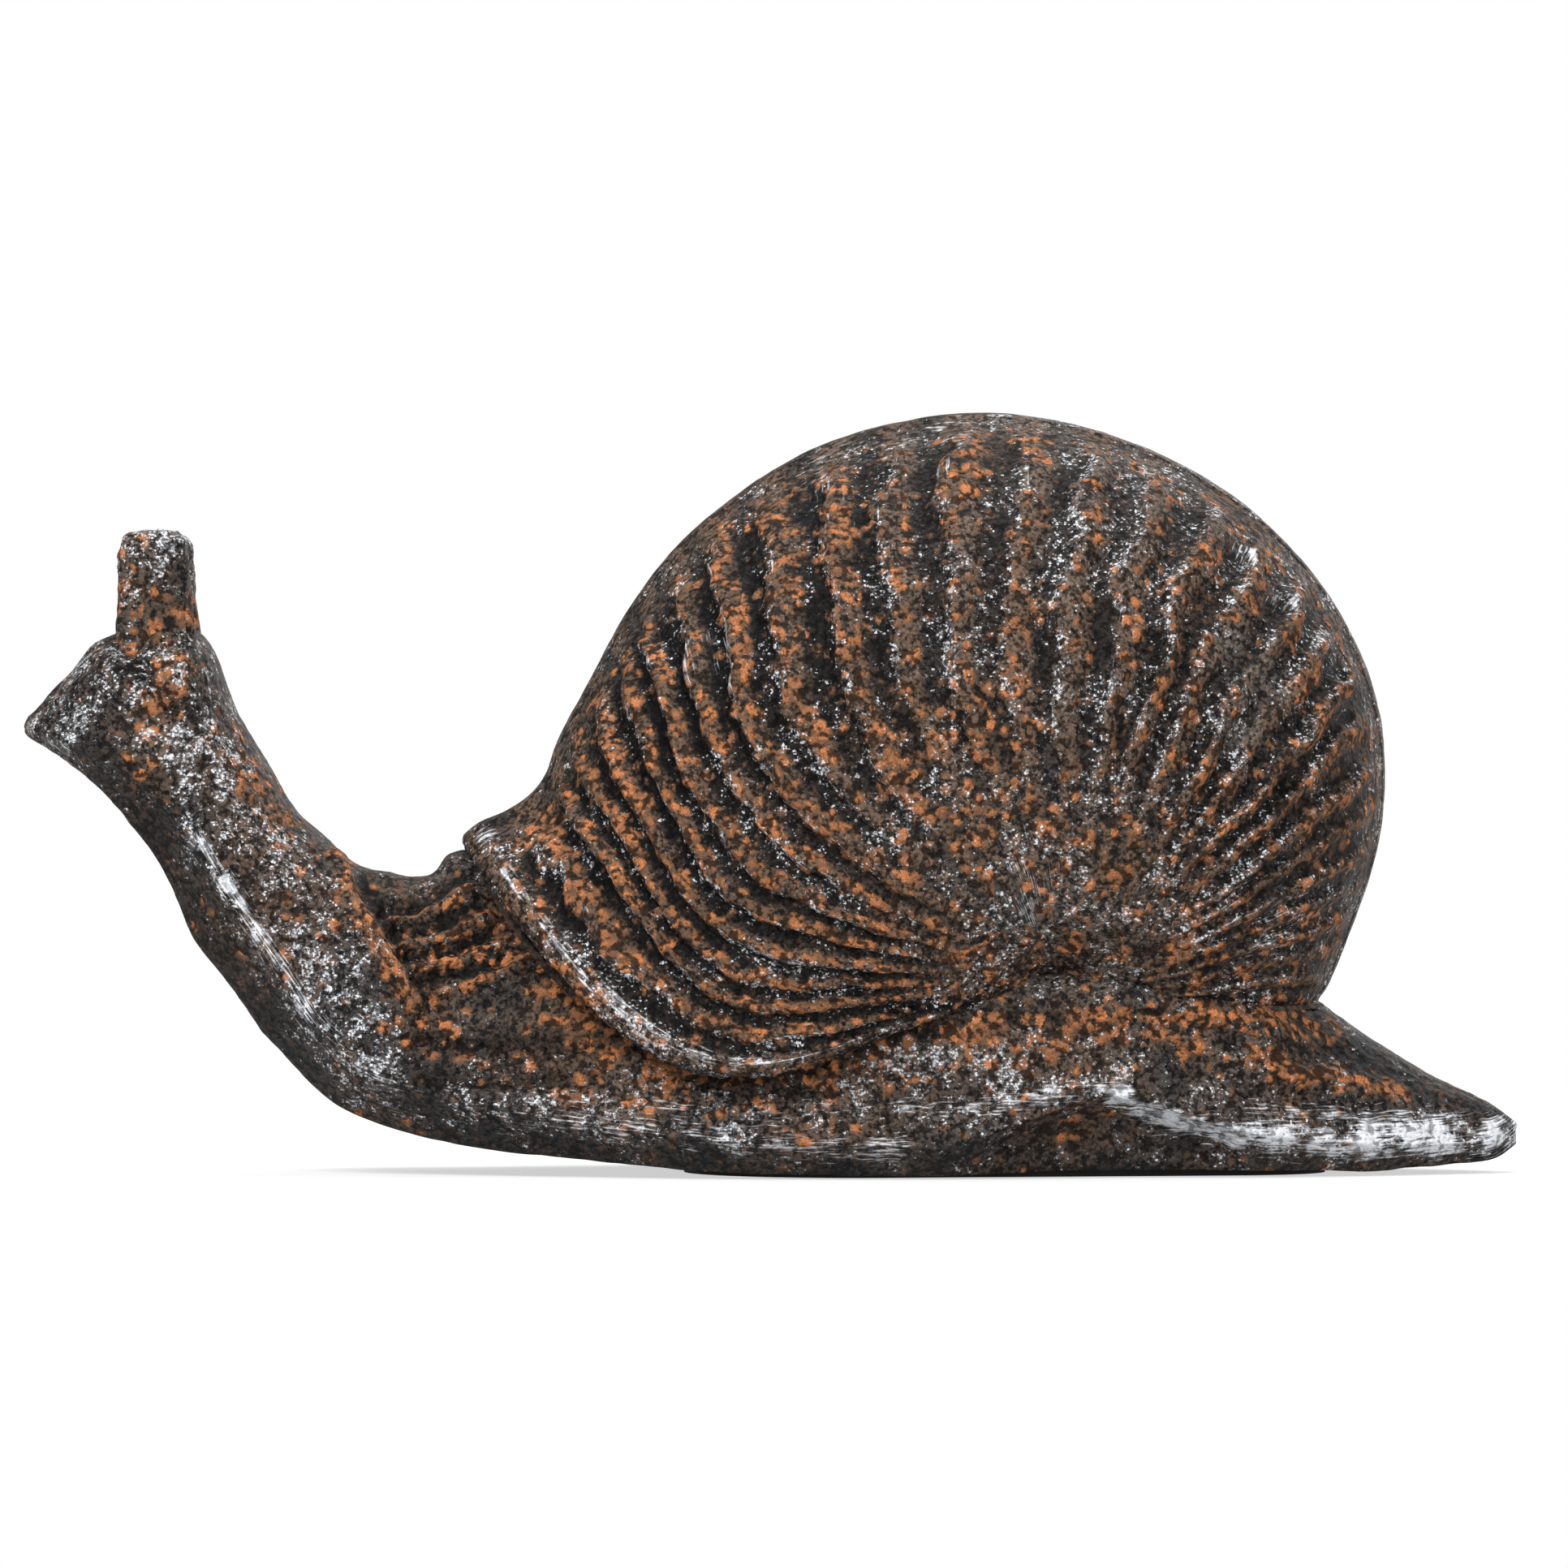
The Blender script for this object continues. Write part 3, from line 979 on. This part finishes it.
# Tentacles: two blunt iron stubs, each pinned in its socket on the head. The rings are a rounded
# oblong at heights above the socket's floor: height, middle along, half length and half breadth.
tentacle_across = 0.0125
socket_depth = 0.011
tentacle_floor = pad_stand + head_height - socket_depth
grain_allowance = (0.0006, 0.0004)  # what the cast grain adds to the half length and the half breadth
tentacle_rings = [
    (0.0000, -0.1650, 0.0110, 0.0080),
    (0.0100, -0.1650, 0.0112, 0.0082),
    (0.0140, -0.1652, 0.0108, 0.0080),
    (0.0210, -0.1654, 0.0103, 0.0077),
    (0.0290, -0.1656, 0.0100, 0.0074),
    (0.0335, -0.1655, 0.0090, 0.0068),
    (0.0356, -0.1655, 0.0066, 0.0052),
    (0.0362, -0.1655, 0.0030, 0.0026),
]
tentacle_rows, tentacle_columns = 64, 72
tip_heights = (0.150, 0.172)  # between which rust gives way to silver
ring_places = np.array(tentacle_rings) - [0, 0, *grain_allowance]
turn = np.linspace(0, 2 * np.pi, tentacle_columns, endpoint=False)
square_share = 0.62  # how square a ring's corners are, from 0 for an oblong to 1 for an oval
ring_x = np.sign(np.cos(turn)) * np.abs(np.cos(turn)) ** square_share
ring_y = np.sign(np.sin(turn)) * np.abs(np.sin(turn)) ** square_share
ring_run = np.concatenate([[0], np.cumsum(np.linalg.norm(np.diff(ring_places, axis=0), axis=1))])
sampled = spline_weights(ring_run, np.linspace(0, ring_run[-1], tentacle_rows)) @ ring_places
ring_height, ring_middle, half_long, half_broad = sampled.T[:, :, None]
for side, across in (("left", -tentacle_across), ("right", tentacle_across)):
    spots = [ring_middle + half_long * ring_x, across - half_broad * ring_y]
    spots.append(tentacle_floor + ring_height + 0 * ring_x)
    tentacle_points = np.stack(spots, axis=2)
    up_share = smooth_step(tentacle_points[:, :, 2], *tip_heights)
    tentacle_values = {
        "along": tentacle_points[:, :, 2],
        "beside": 0.010 * turn + 0 * up_share,
        "brushed": 0.22 * up_share,
        "relief": 0 * up_share,
        "roughcast": 0.35 + 0.45 * up_share,
        "silver": 0.08 + 0.50 * up_share,
        "rust": 0.34 - 0.20 * up_share,
        "soot": 0.10 + 0 * up_share,
    }
    tentacle = grid_mesh(f"snail_tentacle_{side}", tentacle_points, tentacle_values)
    cast_with(body_tree, tentacle, {"Paint": body_iron, "Lumps per metre": 140.0})
    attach(tentacle, "root")
    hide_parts(f"tentacle_{side}")

# Filler in the joint: a grey-black iron cement, which beds the shell on the body. It is pressed out a
# little when the bolts are drawn up, and rubbed down with the castings.
filler_paint, tree, output, place = new_material("iron_cement")
colour = blend_colour(tree, rise(tree, noise(tree, place, 500.0), 0.35, 0.65), black_paint, brown)
finish_surface(tree, output, {"Base Color": colour, "Roughness": 0.85}, noise(tree, place, 1500.0), 0.0003)
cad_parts["joint_filler"].data.materials[0] = filler_paint

# Fixings: zinc-plated steel bolts and washers that hold the shell, countersunk screws that hold the
# base plate, and the pins in the tentacles. All are turned and left bare.
zinc, tree, output, place = new_material("zinc_plated_steel")
turned = place_node(tree, "ShaderNodeMapping", {"Vector": place, "Scale": (1.0, 1.0, 12.0)}).outputs[0]
wear = rise(tree, noise(tree, turned, 400.0), 0.30, 0.70)
colour = blend_colour(tree, wear, (0.42, 0.43, 0.45, 1), (0.62, 0.63, 0.65, 1))
roughness = rise(tree, wear, 0.0, 1.0, 0.28, 0.45)
finish_surface(tree, output, {"Base Color": colour, "Metallic": 1.0, "Roughness": roughness})
for name in ("tentacle_pins", "shell_bolts", "shell_washers", "base_plate_screws"):
    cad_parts[name].data.materials[0] = zinc

# Base plate: sheet steel with black powder paint, which closes the opening in the sole. It lies on a
# ledge in the casting and is held by four screws.
plate_paint, tree, output, place = new_material("black_powder_paint")
colour = blend_colour(tree, noise(tree, place, 60.0), (0.012, 0.012, 0.013, 1), (0.022, 0.022, 0.024, 1))
finish_surface(tree, output, {"Base Color": colour, "Roughness": 0.45}, noise(tree, place, 2200.0), 0.0001)
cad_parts["base_plate"].data.materials[0] = plate_paint

# Rubber pad: a sheet of black rubber with a fine ground face, cut to the plate's outline and glued
# under it. The figure stands on it.
rubber, tree, output, place = new_material("black_rubber")
colour = blend_colour(tree, noise(tree, place, 120.0), (0.014, 0.014, 0.014, 1), (0.030, 0.030, 0.029, 1))
finish_surface(tree, output, {"Base Color": colour, "Roughness": 0.90}, noise(tree, place, 3000.0), 0.0002)
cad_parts["rubber_base_pad"].data.materials[0] = rubber
